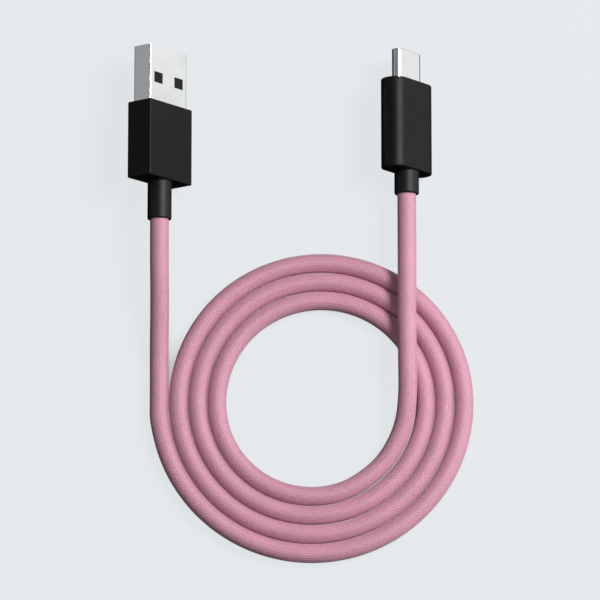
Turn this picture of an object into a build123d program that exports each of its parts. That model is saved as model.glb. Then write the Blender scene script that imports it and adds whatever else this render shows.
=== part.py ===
from build123d import *

import os
from math import cos, pi, radians, sin, tan

# A braided charging cable with a wide host plug on one end and a slim device plug on the other.
# It lies as a flat coil of three and a half turns. All sizes are in millimetres, +Z is up and the
# surface it lies on is z = 0. Both plugs point along +Y, and the origin is on that surface, midway
# between them. Each plug is drawn about its own axis: x across its wide side, y from the housing's
# back face towards the tip, z through its thickness. It is then twisted about that axis.

# Cable
CABLE_D = 3.9  # over the braid
INNER_JACKET_D = 3.0  # under the braid
WIRE_D = 0.7  # each insulated wire
WIRE_SPACING = 0.9  # between neighbouring wires of the two by two bundle

# Coil
COIL_OUTER_R = 31.7  # centreline of the outermost strand
LOWER_STRANDS = 4  # side by side below the coil's centre line, one fewer above it
STRAND_GAP = 0.1  # between neighbouring strands
CROSSING_DEG = 50  # how far before three o'clock the innermost strand starts to climb

# How the plugs lie
TWIST = 52  # degrees, of both plugs about their own axes
HOST_ROLL = 180  # the host plug lies with its tongue uppermost, and its contacts facing down
PLUG_SPACING = 51.6  # between the two axes
HOST_RUN = 37.9  # from the coil's centre to the host collar, along Y

# Both plugs
FIT = 0.05  # clearance all round between rigid pieces that slide together
BACK_WALL = 0.9  # of a housing, with the hole for the collar's spigot
SPIGOT_WALL = 0.3
COLLAR_EDGE_R = 0.3
FERRULE_WALL = 0.25
FERRULE_L = 2.8
FERRULE_GAP = 0.6  # from the housing's back wall to the ferrule
MOULD_SKIN = 0.25  # of the inner mould round the shield can
CAN_SHEET = 0.25
CAN_CORNER_R = 0.5
JACKET_IN_CAN = 0.6  # how far the inner jacket reaches into the can
WIRE_STRAIGHT = 0.8  # straight run of a wire out of the jacket
ARC_SHARE = 0.45  # of the shorter of two runs, which the arc between them may use

# Host plug
HOST_SHELL_W = 12.0
HOST_SHELL_T = 4.5
HOST_SHELL_SHEET = 0.3
HOST_SHELL_CORNER_R = 0.35
HOST_SHELL_OUT = 12.0  # stands out of the housing
HOST_SHELL_IN = 6.4  # held inside the housing
WINDOW_W = 2.75
WINDOW_L = 2.3
WINDOW_X = 3.3  # from the plug's axis to a window's centre
WINDOW_FROM_TIP = 6.85
TONGUE_T = 1.9
TONGUE_SETBACK = 0.6  # from the shell's tip
CONTACT_W = 1.0
CONTACT_T = 0.35
CONTACT_PROUD = 0.05
CONTACT_TAIL = 1.6  # behind the insulator, for its wire
CONTACT_SLOT_GAP = 0.03
POWER_CONTACT_SETBACK = 0.8  # from the tongue's front edge
DATA_CONTACT_SETBACK = 1.8
POWER_CONTACT_X = 3.5
DATA_CONTACT_X = 1.0
HOST_HOUSING_L = 16.3
HOST_SIDE_WALL = 0.85
HOST_FACE_WALL = 0.8
HOST_EDGE_R = 0.25
HOST_COLLAR_WALL = 0.575
HOST_COLLAR_L = 8.1

# Device plug
TIP_W = 8.25
TIP_T = 2.4
TIP_SHEET = 0.25
TIP_OUT = 6.65  # stands out of the housing
TIP_IN = 4.6  # held inside the housing
TIP_LIP_R = 0.15
SLOT_W = 6.7  # the mouth that the socket's tongue enters
SLOT_T = 0.9
SLOT_DEPTH = 5.25
INSULATOR_SETBACK = 0.4  # from the tip's front edge
INSULATOR_BACK_GAP = 0.2  # from the tip's rear edge
STRIP_W = 0.25
STRIP_T = 0.12
STRIP_PITCH = 0.5
STRIP_PLACES = 12
STRIP_SLOT_GAP = 0.025
STRIP_SETBACK = 0.95  # from the insulator's front
STRIP_DIP = 0.14  # of each contact strip's bend into the slot
STRIP_BEND_START = 3.3  # from the strip's front end
STRIP_BEND = 1.1
STRIP_TAIL = 1.4  # behind the insulator, on the board
UPPER_STRIPS = (1, 4, 5, 6, 7, 9, 12)  # which of the places hold a strip
LOWER_STRIPS = (1, 4, 9, 12)
SPRING_W = 5.6
SPRING_L = 1.6
SPRING_T = 0.15
SPRING_SETBACK = 0.25  # from the insulator's front
FINGER_W = 0.8
FINGER_L = 0.5
FINGER_X = 1.6
LATCH_X = 3.41  # from the plug's axis to the middle of an arm
LATCH_T = 0.18
LATCH_H = 0.76
LATCH_L = 4.8  # from the pivot to the arm's front end
LATCH_HOOK = 0.34  # how far the hook stands into the slot
LATCH_HOOK_NEAR, LATCH_HOOK_FAR = 0.55, 0.8  # the hook's flat, from the arm's front end
LATCH_HOOK_ROOT = 1.5  # where the hook's ramp starts, from the arm's front end
LATCH_SETBACK = 1.05  # from the insulator's front
LATCH_FRONT_GAP = 0.2
LATCH_GAP = 0.03  # running clearance at the pivot
LATCH_SIDE_GAP = 0.04
LATCH_POST_L = 1.68
LATCH_PLATE_L = 1.2
LATCH_PLATE_T = 0.2
LATCH_PLATE_LAP = 0.4  # of a post over the plate
BOARD_W = 8.0
BOARD_L = 5.7
BOARD_T = 0.6
BOARD_WIRE_X = (-2.7, -0.9, 0.9, 2.7)
BOARD_PAD_L = 1.4
RESISTOR = (1.0, 0.5, 0.35)
CAN_LAP = 1.0  # of the shield can over the tip's rear end
DEVICE_HOUSING_W = 13.6
DEVICE_HOUSING_T = 6.1
DEVICE_HOUSING_L = 19.2
DEVICE_WALL = 0.8
DEVICE_EDGE_R = 0.2
DEVICE_COLLAR_WALL = 0.625
DEVICE_COLLAR_L = 4.85
FACE_RECESS = 0.2  # of the inner mould's front face in the housing

# Sizes that follow
PITCH = CABLE_D + STRAND_GAP
CAN_BACK = BACK_WALL + FERRULE_GAP + FERRULE_L
JACKET_END = CAN_BACK + CAN_SHEET + JACKET_IN_CAN
SPIGOT_D = CABLE_D + 2 * SPIGOT_WALL
FERRULE_D = INNER_JACKET_D + 2 * FERRULE_WALL

HOST_CAVITY_W = HOST_SHELL_W + 2 * FIT
HOST_CAVITY_T = HOST_SHELL_T + 2 * FIT
HOST_HOUSING_W = HOST_CAVITY_W + 2 * HOST_SIDE_WALL
HOST_HOUSING_T = HOST_CAVITY_T + 2 * HOST_FACE_WALL
HOST_INNER_W = HOST_SHELL_W - 2 * HOST_SHELL_SHEET
HOST_INNER_T = HOST_SHELL_T - 2 * HOST_SHELL_SHEET
HOST_SHELL_BACK = HOST_HOUSING_L - HOST_SHELL_IN
HOST_TIP = HOST_HOUSING_L + HOST_SHELL_OUT
TONGUE_END = HOST_TIP - TONGUE_SETBACK
TONGUE_TOP = TONGUE_T - HOST_INNER_T / 2
CONTACT_TOP = TONGUE_TOP + CONTACT_PROUD

DEVICE_CAVITY_W = DEVICE_HOUSING_W - 2 * DEVICE_WALL
DEVICE_CAVITY_T = DEVICE_HOUSING_T - 2 * DEVICE_WALL
TIP_INNER_W = TIP_W - 2 * TIP_SHEET
TIP_INNER_T = TIP_T - 2 * TIP_SHEET
TIP_BACK = DEVICE_HOUSING_L - TIP_IN
DEVICE_TIP = DEVICE_HOUSING_L + TIP_OUT
INSULATOR_BACK = TIP_BACK + INSULATOR_BACK_GAP
INSULATOR_FRONT = DEVICE_TIP - INSULATOR_SETBACK
SLOT_BACK = INSULATOR_FRONT - SLOT_DEPTH
STRIP_FRONT = INSULATOR_FRONT - STRIP_SETBACK
STRIP_BACK = INSULATOR_BACK - STRIP_TAIL
SPRING_FRONT = INSULATOR_FRONT - SPRING_SETBACK
LATCH_FRONT = INSULATOR_FRONT - LATCH_SETBACK
LATCH_PIVOT = LATCH_FRONT - LATCH_L
LATCH_POST_FRONT = LATCH_PIVOT - LATCH_T / 2 - LATCH_GAP
LATCH_POST_BACK = LATCH_POST_FRONT - LATCH_POST_L
BOARD_BACK = TIP_BACK - BOARD_L

# Where the plugs and the coil lie. A plug rests on its lower long edge.
TURNED_X, TURNED_Z = cos(radians(TWIST)), sin(radians(TWIST))
HOST_CORE_W, HOST_CORE_T = HOST_HOUSING_W / 2 - HOST_EDGE_R, HOST_HOUSING_T / 2 - HOST_EDGE_R
HOST_REACH_X = HOST_CORE_W * TURNED_X + HOST_CORE_T * TURNED_Z + HOST_EDGE_R
HOST_Z = HOST_CORE_W * TURNED_Z + HOST_CORE_T * TURNED_X + HOST_EDGE_R
DEVICE_CORE_W = (DEVICE_HOUSING_W - DEVICE_HOUSING_T) / 2
DEVICE_REACH_X = DEVICE_CORE_W * TURNED_X + DEVICE_HOUSING_T / 2
DEVICE_Z = DEVICE_CORE_W * TURNED_Z + DEVICE_HOUSING_T / 2
HOST_X = (HOST_REACH_X - DEVICE_REACH_X - PLUG_SPACING) / 2
DEVICE_X = HOST_X + PLUG_SPACING
TIPS_Y = (HOST_COLLAR_L + HOST_TIP) / 2
HOST_BACK_Y = TIPS_Y - HOST_TIP
DEVICE_BACK_Y = TIPS_Y - DEVICE_TIP
HOST_EXIT = Vector(HOST_X, HOST_BACK_Y - HOST_COLLAR_L, HOST_Z)
DEVICE_EXIT = Vector(DEVICE_X, DEVICE_BACK_Y - DEVICE_COLLAR_L, DEVICE_Z)
COIL_CENTRE = Vector(HOST_X + COIL_OUTER_R, HOST_EXIT.Y - HOST_RUN, 0)
STRAIGHT_OUT = Vector(0, -7.6, 0)  # the cable leaves each collar straight for two diameters

# The cable's uncoiled routes, from the collar to the coil, as offsets from the coil's centre.
HOST_ROUTE = [(-31.6, 21.0, 4.9), (-31.75, 11.5, 2.35), (-31.7, 5.0, 1.97), (-31.7, 0.0, 1.95)]
DEVICE_ROUTE = [
    (19.9, 27.5, 6.4),
    (19.8, 18.0, 6.5),
    (19.9, 8.5, 6.2),
    (20.0, 0.5, 4.6),
    (19.1, -5.5, 3.0),
    (16.2, -11.3, 2.1),
    (12.66, -15.09, 1.95),
]


def along(y):
    """Plane square to a plug's axis at y."""
    return Plane(origin=(0, y, 0), x_dir=(1, 0, 0), z_dir=(0, 1, 0))


def bar(width, height, start, end, x=0.0, z=0.0):
    """Square-edged bar from start to end along a plug's axis."""
    return Pos(x, (start + end) / 2, z) * Box(width, end - start, height)


def rounded_bar(width, height, corner, start, end):
    """Bar with rounded long edges."""
    return extrude(along(start) * RectangleRounded(width, height, corner), end - start)


def oblong(width, height, start, end):
    """Bar whose two narrow sides are half round."""
    return extrude(along(start) * SlotOverall(width, height), end - start)


def rod(diameter, start, end):
    """Round rod on a plug's axis."""
    return extrude(along(start) * Circle(diameter / 2), end - start)


def halves(piece, reach=40):
    """A piece cut at its middle plane into its upper and lower halves."""
    above = Pos(0, 0, reach / 2) * Box(reach, 2 * reach, reach)
    return piece & above, piece - above


def tube(points, diameter):
    """Round tube along straight runs, joined by arcs as large as the runs allow."""
    places = [Vector(point) for point in points]
    radii = []
    for before, corner, after in zip(places, places[1:], places[2:]):
        arriving, leaving = corner - before, after - corner
        half_turn = radians(arriving.get_angle(leaving)) / 2
        radii.append(ARC_SHARE * min(arriving.length, leaving.length) / tan(half_turn))
    path = FilletPolyline(*places, radius=radii)
    section = Plane(origin=path @ 0, z_dir=path % 0) * Circle(diameter / 2)
    return sweep(section, path=path), radii, path.length


# Pieces that both plugs have


def collar(outer_d, length):
    """Strain relief: a round sleeve with a spigot that snaps into the housing's back wall."""
    sleeve = rod(outer_d, -length, 0)
    sleeve = fillet(sleeve.edges().group_by(Axis.Y)[0], COLLAR_EDGE_R)
    return sleeve + rod(SPIGOT_D, 0, BACK_WALL) - rod(CABLE_D, -length, BACK_WALL)


def braid_end(collar_length):
    """The braid inside the collar, cut off at the housing's cavity."""
    return rod(CABLE_D, -collar_length, BACK_WALL) - rod(INNER_JACKET_D, -collar_length, BACK_WALL)


def inner_jacket(collar_length):
    """The jacket under the braid, which goes on into the shield can."""
    return rod(INNER_JACKET_D, -collar_length, JACKET_END)


def ferrule():
    """Crimp ring on the inner jacket, against the back of the shield can."""
    start = CAN_BACK - FERRULE_L
    return rod(FERRULE_D, start, CAN_BACK) - rod(INNER_JACKET_D, start, CAN_BACK)


def wires(pads, pad_z, straight, end):
    """Four wires from the jacket's end to pads at these x, each lying on its pad."""
    half = WIRE_SPACING / 2
    starts = [(-half, -half), (-half, half), (half, half), (half, -half)]
    made = []
    for (x, z), pad in zip(starts, pads):
        route = [
            (x, JACKET_END, z),
            (x, JACKET_END + WIRE_STRAIGHT, z),
            (pad, straight, pad_z + WIRE_D / 2),
            (pad, end, pad_z + WIRE_D / 2),
        ]
        made.append(tube(route, WIRE_D)[0])
    return made


# Host plug


def host_housing():
    """Square-edged plastic sleeve, closed at the back but for the collar's hole."""
    block = fillet(bar(HOST_HOUSING_W, HOST_HOUSING_T, 0, HOST_HOUSING_L).edges(), HOST_EDGE_R)
    corner = HOST_SHELL_CORNER_R + FIT
    cavity = rounded_bar(HOST_CAVITY_W, HOST_CAVITY_T, corner, BACK_WALL, HOST_HOUSING_L)
    return block - cavity - rod(SPIGOT_D, 0, BACK_WALL)


def host_shell():
    """Folded steel shell with two latch windows in each wide face."""
    inner_corner = HOST_SHELL_CORNER_R - HOST_SHELL_SHEET
    shell = rounded_bar(HOST_SHELL_W, HOST_SHELL_T, HOST_SHELL_CORNER_R, HOST_SHELL_BACK, HOST_TIP)
    shell -= rounded_bar(HOST_INNER_W, HOST_INNER_T, inner_corner, HOST_SHELL_BACK, HOST_TIP)
    middle = HOST_TIP - WINDOW_FROM_TIP
    for x in (-WINDOW_X, WINDOW_X):
        shell -= bar(WINDOW_W, HOST_SHELL_T, middle - WINDOW_L / 2, middle + WINDOW_L / 2, x)
    return shell


def host_contacts():
    """The places of the four contacts: name, x and front end."""
    power_end = TONGUE_END - POWER_CONTACT_SETBACK
    data_end = TONGUE_END - DATA_CONTACT_SETBACK
    return [
        ("power", -POWER_CONTACT_X, power_end),
        ("data_minus", -DATA_CONTACT_X, data_end),
        ("data_plus", DATA_CONTACT_X, data_end),
        ("ground", POWER_CONTACT_X, power_end),
    ]


def host_contact(x, end):
    """Flat contact strip with a chamfered front edge, from its solder tail to its front."""
    middle_z = CONTACT_TOP - CONTACT_T / 2
    strip = bar(CONTACT_W, CONTACT_T, HOST_SHELL_BACK - CONTACT_TAIL, end, x, middle_z)
    return chamfer(strip.edges().group_by(Axis.Y)[-1].group_by(Axis.Z)[-1], CONTACT_T / 2)


def host_insulator():
    """Block that fills the shell's back half, with the tongue that carries the contacts."""
    corner = HOST_SHELL_CORNER_R - HOST_SHELL_SHEET
    block = rounded_bar(
        HOST_INNER_W - 2 * FIT, HOST_INNER_T - FIT, corner, HOST_SHELL_BACK, TONGUE_END
    )
    block = Pos(0, 0, -FIT / 2) * block
    mouth_t = HOST_INNER_T - TONGUE_T
    mouth_z = TONGUE_TOP + mouth_t / 2
    block -= bar(HOST_INNER_W, mouth_t, HOST_HOUSING_L, TONGUE_END, 0, mouth_z)
    slot_t = CONTACT_T + CONTACT_SLOT_GAP
    slot_z = CONTACT_TOP - CONTACT_T + slot_t / 2
    for _, x, end in host_contacts():
        slot_w = CONTACT_W + 2 * CONTACT_SLOT_GAP
        block -= bar(slot_w, slot_t, HOST_SHELL_BACK, end + CONTACT_SLOT_GAP, x, slot_z)
    return block


def host_can():
    """Rectangular shield can round the soldered joints, open towards the shell."""
    width = HOST_SHELL_W - 2 * MOULD_SKIN
    height = HOST_SHELL_T - 2 * MOULD_SKIN
    can = rounded_bar(width, height, CAN_CORNER_R, CAN_BACK, HOST_SHELL_BACK)
    inside = rounded_bar(
        width - 2 * CAN_SHEET,
        height - 2 * CAN_SHEET,
        CAN_CORNER_R - CAN_SHEET,
        CAN_BACK + CAN_SHEET,
        HOST_SHELL_BACK,
    )
    return can, can - inside - rod(INNER_JACKET_D, CAN_BACK, JACKET_END)


def host_mould(can):
    """Inner mould that fills the housing behind the shell, round the can and the ferrule."""
    mould = rounded_bar(
        HOST_SHELL_W, HOST_SHELL_T, HOST_SHELL_CORNER_R, BACK_WALL, HOST_SHELL_BACK
    )
    mould -= can + rod(FERRULE_D, CAN_BACK - FERRULE_L, CAN_BACK)
    return mould - rod(INNER_JACKET_D, BACK_WALL, CAN_BACK)


def host_plug():
    """Every piece of the host plug, by name, about its own axis."""
    solid_can, can = host_can()
    can_upper, can_lower = halves(can)
    pieces = {
        "housing": host_housing(),
        "strain_relief": collar(CABLE_D + 2 * HOST_COLLAR_WALL, HOST_COLLAR_L),
        "braid_end": braid_end(HOST_COLLAR_L),
        "inner_jacket": inner_jacket(HOST_COLLAR_L),
        "shell": host_shell(),
        "insulator": host_insulator(),
        "shield_upper": can_upper,
        "shield_lower": can_lower,
        "crimp_ferrule": ferrule(),
        "inner_mould": host_mould(solid_can),
    }
    places = host_contacts()
    for name, x, end in places:
        pieces["contact_" + name] = host_contact(x, end)
    tail = HOST_SHELL_BACK - CONTACT_TAIL
    pads = [x for _, x, _ in places]
    routed = wires(pads, CONTACT_TOP, tail, HOST_SHELL_BACK - 2 * FIT)
    for colour, wire in zip(("red", "white", "green", "black"), routed):
        pieces["wire_" + colour] = wire
    return pieces


# Device plug


def device_housing():
    """Plastic sleeve with half-round narrow sides, closed at the back but for the collar's hole."""
    block = oblong(DEVICE_HOUSING_W, DEVICE_HOUSING_T, 0, DEVICE_HOUSING_L)
    rims = block.edges().group_by(Axis.Y)
    block = fillet(rims[0] + rims[-1], DEVICE_EDGE_R)
    block -= oblong(DEVICE_CAVITY_W, DEVICE_CAVITY_T, BACK_WALL, DEVICE_HOUSING_L)
    return block - rod(SPIGOT_D, 0, BACK_WALL)


def tip_shell():
    """Seamless drawn steel tip with a rounded front lip."""
    shell = oblong(TIP_W, TIP_T, TIP_BACK, DEVICE_TIP)
    shell = fillet(shell.edges().group_by(Axis.Y)[-1], TIP_LIP_R)
    return shell - oblong(TIP_INNER_W, TIP_INNER_T, TIP_BACK, DEVICE_TIP)


def strip_row(places):
    """One row of contact strips above the board, each bent down towards the slot's middle."""
    low, high = BOARD_T / 2, BOARD_T / 2 + STRIP_T
    bend_start, bend = STRIP_FRONT - STRIP_BEND_START, STRIP_FRONT - STRIP_BEND
    outline = [
        (STRIP_BACK, low),
        (bend_start, low),
        (bend, low - STRIP_DIP),
        (STRIP_FRONT, low),
        (STRIP_FRONT, high),
        (bend, high - STRIP_DIP),
        (bend_start, high),
        (STRIP_BACK, high),
    ]
    profile = Plane.YZ * make_face(Polyline(*outline, close=True))
    strip = extrude(profile, STRIP_W / 2, both=True)
    return Compound([Pos(strip_x(place), 0, 0) * strip for place in places])


def strip_x(place):
    """Distance of a contact place, counted from 1, from the plug's axis."""
    return (place - (STRIP_PLACES + 1) / 2) * STRIP_PITCH


def ground_spring():
    """Thin plate under the tip's upper wall, with two fingers that reach into the slot."""
    top = TIP_INNER_T / 2
    low = SLOT_T / 2 - FIT
    back = SPRING_FRONT - SPRING_L
    plate = bar(SPRING_W, SPRING_T, back, SPRING_FRONT, 0, top - SPRING_T / 2)
    for x in (-FINGER_X, FINGER_X):
        plate += bar(FINGER_W, top - low, SPRING_FRONT - FINGER_L, SPRING_FRONT, x, (top + low) / 2)
    return plate


def latch_frame():
    """Plate across the insulator with a post at each side, where the latch arms pivot."""
    plate_back = LATCH_POST_BACK + LATCH_PLATE_LAP - LATCH_PLATE_L
    plate_w = 2 * LATCH_X + LATCH_T
    frame = bar(plate_w, LATCH_PLATE_T, plate_back, LATCH_POST_BACK + LATCH_PLATE_LAP)
    for x in (-LATCH_X, LATCH_X):
        frame += bar(LATCH_T, LATCH_H, LATCH_POST_BACK, LATCH_POST_FRONT, x)
    return frame


def latch_arm():
    """Spring arm with a round root and a hook that stands into the slot, on the +x side."""
    inner, outer = LATCH_X - LATCH_T / 2, LATCH_X + LATCH_T / 2
    hook = inner - LATCH_HOOK
    outline = [
        (outer, LATCH_PIVOT),
        (outer, LATCH_FRONT),
        (inner, LATCH_FRONT),
        (hook, LATCH_FRONT - LATCH_HOOK_NEAR),
        (hook, LATCH_FRONT - LATCH_HOOK_FAR),
        (inner, LATCH_FRONT - LATCH_HOOK_ROOT),
        (inner, LATCH_PIVOT),
    ]
    arm = extrude(make_face(Polyline(*outline, close=True)), LATCH_H / 2, both=True)
    return arm + Pos(LATCH_X, LATCH_PIVOT, 0) * Cylinder(LATCH_T / 2, LATCH_H)


def device_insulator():
    """Insulator with the slot, passages for the strips, side windows and spring recesses."""
    block = oblong(TIP_INNER_W - 2 * FIT, TIP_INNER_T, INSULATOR_BACK, INSULATOR_FRONT)
    block -= bar(SLOT_W, SLOT_T, SLOT_BACK, INSULATOR_FRONT)
    passage_w = STRIP_W + 2 * STRIP_SLOT_GAP
    passage_t = STRIP_T + STRIP_SLOT_GAP
    for side, places in ((1, UPPER_STRIPS), (-1, LOWER_STRIPS)):
        z = side * (BOARD_T + passage_t) / 2
        for place in places:
            x = side * strip_x(place)
            block -= bar(passage_w, passage_t, INSULATOR_BACK, SLOT_BACK, x, z)
    window_x = TIP_INNER_W / 2
    window_w = 2 * (window_x - LATCH_X + LATCH_T / 2 + LATCH_SIDE_GAP)
    window_h = LATCH_H + 2 * LATCH_SIDE_GAP
    for x in (-window_x, window_x):
        block -= bar(window_w, window_h, LATCH_POST_BACK, LATCH_FRONT + LATCH_FRONT_GAP, x)
    block -= latch_frame()
    for flip in (0, 180):
        block -= Rotation(0, flip, 0) * ground_spring()
    return block


def device_can():
    """Shield can round the board, closed at both ends but for the jacket and the tip."""
    width = DEVICE_CAVITY_W - 2 * (FIT + MOULD_SKIN)
    height = DEVICE_CAVITY_T - 2 * (FIT + MOULD_SKIN)
    front = TIP_BACK + CAN_LAP
    can = oblong(width, height, CAN_BACK, front)
    inside = oblong(
        width - 2 * CAN_SHEET, height - 2 * CAN_SHEET, CAN_BACK + CAN_SHEET, front - CAN_SHEET
    )
    hollow = can - inside - rod(INNER_JACKET_D, CAN_BACK, JACKET_END)
    return can, hollow - oblong(TIP_W, TIP_T, TIP_BACK, front)


def device_mould(can):
    """Inner mould that fills the housing and makes its front face round the tip."""
    front = DEVICE_HOUSING_L - FACE_RECESS
    mould = oblong(DEVICE_CAVITY_W - 2 * FIT, DEVICE_CAVITY_T - 2 * FIT, BACK_WALL, front)
    mould -= can + rod(FERRULE_D, CAN_BACK - FERRULE_L, CAN_BACK)
    mould -= oblong(TIP_W, TIP_T, TIP_BACK, front)
    return mould - rod(INNER_JACKET_D, BACK_WALL, CAN_BACK)


def device_plug():
    """Every piece of the device plug, by name, about its own axis."""
    solid_can, can = device_can()
    can_upper, can_lower = halves(can)
    board_top = BOARD_T / 2
    resistor_w, resistor_l, resistor_t = RESISTOR
    resistor_y = (BOARD_BACK + BOARD_PAD_L + STRIP_BACK) / 2
    pieces = {
        "housing": device_housing(),
        "strain_relief": collar(CABLE_D + 2 * DEVICE_COLLAR_WALL, DEVICE_COLLAR_L),
        "braid_end": braid_end(DEVICE_COLLAR_L),
        "inner_jacket": inner_jacket(DEVICE_COLLAR_L),
        "tip_shell": tip_shell(),
        "insulator": device_insulator(),
        "contacts_upper": strip_row(UPPER_STRIPS),
        "contacts_lower": Rotation(0, 180, 0) * strip_row(LOWER_STRIPS),
        "ground_spring_upper": ground_spring(),
        "ground_spring_lower": Rotation(0, 180, 0) * ground_spring(),
        "latch_frame": latch_frame(),
        "latch_right": latch_arm(),
        "latch_left": Rotation(0, 180, 0) * latch_arm(),
        "board": bar(BOARD_W, BOARD_T, BOARD_BACK, TIP_BACK),
        "pull_up_resistor": bar(
            resistor_w,
            resistor_t,
            resistor_y - resistor_l / 2,
            resistor_y + resistor_l / 2,
            0,
            board_top + resistor_t / 2,
        ),
        "shield_upper": can_upper,
        "shield_lower": can_lower,
        "crimp_ferrule": ferrule(),
        "inner_mould": device_mould(solid_can),
    }
    routed = wires(BOARD_WIRE_X, board_top, BOARD_BACK + FIT, BOARD_BACK + BOARD_PAD_L)
    for colour, wire in zip(("red", "white", "green", "black"), routed):
        pieces["wire_" + colour] = wire
    return pieces


# Cable


def band(radii, start, turn):
    """Part of the flat coil: side by side strands of these radii, through some degrees."""
    width = max(radii) - min(radii) + CABLE_D
    middle = (max(radii) + min(radii)) / 2
    section = Plane.XZ * Pos(middle, CABLE_D / 2) * SlotOverall(width, CABLE_D)
    return Rotation(0, 0, start) * revolve(section, Axis.Z, revolution_arc=turn)


def coil():
    """Outer shape of the coil, with one strand fewer above its centre line than below it.

    The upper half is moved sideways by half a pitch, so each strand meets the next turn's.
    """
    lower = [COIL_OUTER_R - turn * PITCH for turn in range(LOWER_STRANDS)]
    upper = [radius - PITCH / 2 for radius in lower[:-1]]
    shape = band(lower, 180, 180 - CROSSING_DEG)
    shape += band(lower[:-1], -CROSSING_DEG, CROSSING_DEG)
    return shape + Pos(PITCH / 2, 0, 0) * band(upper, 0, 180)


def run(name, exit_point, route):
    """The cable from a collar to the coil, with its volume compared with section times length."""
    points = [exit_point - COIL_CENTRE, exit_point + STRAIGHT_OUT - COIL_CENTRE, *route]
    shape, radii, length = tube(points, CABLE_D)
    expected = pi * CABLE_D**2 / 4 * length
    print(name, "radii", [round(radius, 1) for radius in radii], "length", round(length, 1))
    print(name, "volume", round(shape.volume, 1), "of", round(expected, 1))
    return shape


def cable():
    """The cable's three solids, about the coil's centre."""
    return {
        "run_host": run("run_host", HOST_EXIT, HOST_ROUTE),
        "coil": coil(),
        "run_device": run("run_device", DEVICE_EXIT, DEVICE_ROUTE),
    }


def main():
    os.makedirs("parts", exist_ok=True)
    host_turn, device_turn = Rotation(0, TWIST + HOST_ROLL, 0), Rotation(0, TWIST, 0)
    groups = [
        ("host_plug_", Pos(HOST_X, HOST_BACK_Y, HOST_Z) * host_turn, host_plug()),
        ("device_plug_", Pos(DEVICE_X, DEVICE_BACK_Y, DEVICE_Z) * device_turn, device_plug()),
        ("cable_", Pos(COIL_CENTRE), cable()),
    ]
    for prefix, place, pieces in groups:
        for name, piece in pieces.items():
            export_step(place * piece, f"parts/{prefix}{name}.step")
    print("host exit", HOST_EXIT, "device exit", DEVICE_EXIT, "coil centre", COIL_CENTRE)


main()
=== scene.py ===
from math import cos, pi, radians, sin

import bmesh
import bpy
import numpy as np
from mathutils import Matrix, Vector


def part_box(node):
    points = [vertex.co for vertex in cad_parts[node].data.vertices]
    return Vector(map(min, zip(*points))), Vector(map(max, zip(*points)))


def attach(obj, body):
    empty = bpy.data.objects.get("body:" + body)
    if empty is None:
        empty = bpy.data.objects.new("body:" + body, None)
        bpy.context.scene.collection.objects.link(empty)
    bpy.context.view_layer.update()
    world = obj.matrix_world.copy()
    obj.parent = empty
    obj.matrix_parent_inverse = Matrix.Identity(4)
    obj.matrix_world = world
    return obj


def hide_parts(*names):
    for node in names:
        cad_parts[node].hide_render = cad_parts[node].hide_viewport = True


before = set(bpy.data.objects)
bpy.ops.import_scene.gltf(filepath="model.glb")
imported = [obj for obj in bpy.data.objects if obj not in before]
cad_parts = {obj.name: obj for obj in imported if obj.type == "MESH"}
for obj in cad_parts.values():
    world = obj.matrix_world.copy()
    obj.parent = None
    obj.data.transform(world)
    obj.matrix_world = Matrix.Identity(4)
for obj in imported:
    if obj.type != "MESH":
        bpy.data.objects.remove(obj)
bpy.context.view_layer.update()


# ---- Cable -------------------------------------------------------------------------------------
# One length of four-core cable in a sleeve of fine pink polyester yarn, plaited over the jacket on
# a 48-carrier braider, two yarns over and two under. It is wound by hand into a flat coil of three
# and a half turns in one layer, and climbs over the turns once on its way out to the slim plug.
CABLE_D = 0.0039
COIL_OUTER_R = 0.0317
STRAND_GAP = 0.0001
PITCH = CABLE_D + STRAND_GAP
LOWER_STRANDS = 4  # side by side below the coil's middle line, with one fewer above it
POINTS_PER_TURN = 24
STRAIGHT_OUT = 0.0076  # how far the cable runs on along each plug's axis
HOST_ROUTE = [
    (-0.0316, 0.0210, 0.0049),
    (-0.03175, 0.0115, 0.00235),
    (-0.0317, 0.0050, 0.00197),
    (-0.0317, 0.0, 0.00195),
]
DEVICE_ROUTE = [
    (0.0199, 0.0275, 0.0064),
    (0.0198, 0.0180, 0.0065),
    (0.0199, 0.0085, 0.0062),
    (0.0200, 0.0005, 0.0046),
    (0.0191, -0.0055, 0.0030),
    (0.0162, -0.0113, 0.0021),
    (0.01266, -0.01509, 0.00195),
]
SPLINE_ORDER = 3
SPLINE_STEPS = 32  # from one control point to the next
BRAID_COLUMNS = 24  # columns of herringbone round the cable, leaning left and right by turns
BRAID_PITCH = 0.00066  # along the cable, from one yarn to the next in a column
BRAID_RELIEF = 0.00003  # half of the yarns' height over the grooves between them
RINGS_PER_PITCH = 2
MAP_START = 0.25  # the map's two counts at the first ring's zero
YARN_PINK = (0.68, 0.29, 0.405, 1)
# painted shade: the darker pink that the yarns' colour takes in the grooves between them
GROOVE_SHADE_PINK = (0.46, 0.155, 0.24, 1)
GROOVE_START = 0.15  # how deep in the groove the painted shade starts; at a yarn's edge it is 1 deep
GROOVE_SHARE = 0.8  # how much of the painted groove shade the yarn's edge takes
YARN_TINTS = (0.93, 0.10)  # the darkest yarn's tint, and how much lighter the lightest is
CLOUD_TONES = (0.95, 0.07)  # the darkest cloud's tone, and how much lighter the lightest is
SLEEVE_CLOUD = 0.006  # the size of a cloud of darker or lighter sleeve
YARN_BUMP = 0.7
YARN_HEIGHT = 0.00008
FILAMENTS = 5  # seen side by side across one yarn
FILAMENT_HEIGHT = 0.05  # over the yarn's own height
HAND_SHIFT = 0.37  # keeps the random tints of the two hands' yarns apart
NOISE_RANGE = (0.3, 0.7)  # where nearly all of a noise's values lie


def rear_middle(node):
    """The middle of a piece's rear end, which lies on its plug's axis."""
    low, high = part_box(node)
    return np.array([(low.x + high.x) / 2, low.y, (low.z + high.z) / 2])


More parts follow.
